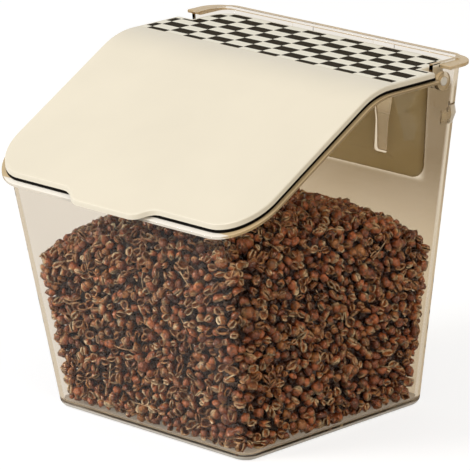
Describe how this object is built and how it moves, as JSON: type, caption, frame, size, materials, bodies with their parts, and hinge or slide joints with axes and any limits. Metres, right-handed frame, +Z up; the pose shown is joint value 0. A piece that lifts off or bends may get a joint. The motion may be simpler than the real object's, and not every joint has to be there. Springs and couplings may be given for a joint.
{
  "type": "wall spice box",
  "caption": "Clear drafted tub that hangs on a wall, with a sealed bent lid hinged on two pins near its back, filled with dry husks.",
  "frame": {"origin": "middle of the box's bounding box, on the plane that its foot ring stands on", "axes": "+X to the box's right as seen from the front, +Y into the wall behind it, +Z up"},
  "size_m": [0.1224, 0.1156, 0.1216],
  "materials": {
    "clear_plastic": "clear, warm tint, polished mould",
    "lid_plastic": "opaque cream, satin gloss",
    "printed_film": "printed checkerboard, satin",
    "seal_rubber": "matt black",
    "pin_plastic": "translucent, polished",
    "pad_foam": "matt brown foam sheet",
    "husks": "dry red-brown husks with tan rims"
  },
  "bodies": {
    "tub": {"tub": "clear_plastic", "back_pad": "pad_foam", "pepper_fill": "husks"},
    "lid": {"lid": "lid_plastic", "checker_film": "printed_film", "lid_seal": "seal_rubber", "hinge_pin_left": "pin_plastic", "hinge_pin_right": "pin_plastic"}
  },
  "joints": [
    {"name": "lid_hinge", "type": "hinge", "parent": "tub", "child": "lid", "pos_m": [0, 0.04455, 0.11535], "axis": [-1, 0, 0], "range_deg": [0, 95]}
  ]
}
